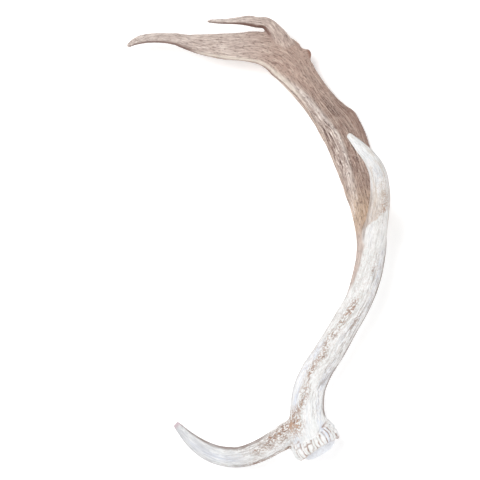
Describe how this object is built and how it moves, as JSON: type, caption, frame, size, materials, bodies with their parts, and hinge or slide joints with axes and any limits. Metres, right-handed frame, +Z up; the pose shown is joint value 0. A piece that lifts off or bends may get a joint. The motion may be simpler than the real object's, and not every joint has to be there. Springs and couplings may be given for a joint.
{
  "type": "deer antler",
  "caption": "Cast fallow deer antler lying on its side: a pearled burr, a curved beam with brow and tray tines, and a narrow palm that ends in long points.",
  "frame": {"origin": "on the surface that the antler lies on, under the middle of its bounding box", "axes": "+Y runs from the burr's end to the palm's end, +X towards the back (outer curve) of the beam, +Z up from the surface"},
  "size_m": [0.2888, 0.5034, 0.118],
  "materials": {
    "bleached_bone": "dry antler bone bleached almost white, grooved and pearled along the grain, with brown stain left between the pearls and a faint sheen on the tines",
    "stained_bone": "dry antler bone stained mauve-brown, with pale raised streaks and veins along the grain"
  },
  "bodies": {
    "root": {"beam": "bleached_bone", "brow_tine": "bleached_bone", "tray_tine": "bleached_bone", "palm": "stained_bone", "lead_speller": "stained_bone", "upper_speller": "stained_bone"}
  },
  "joints": []
}
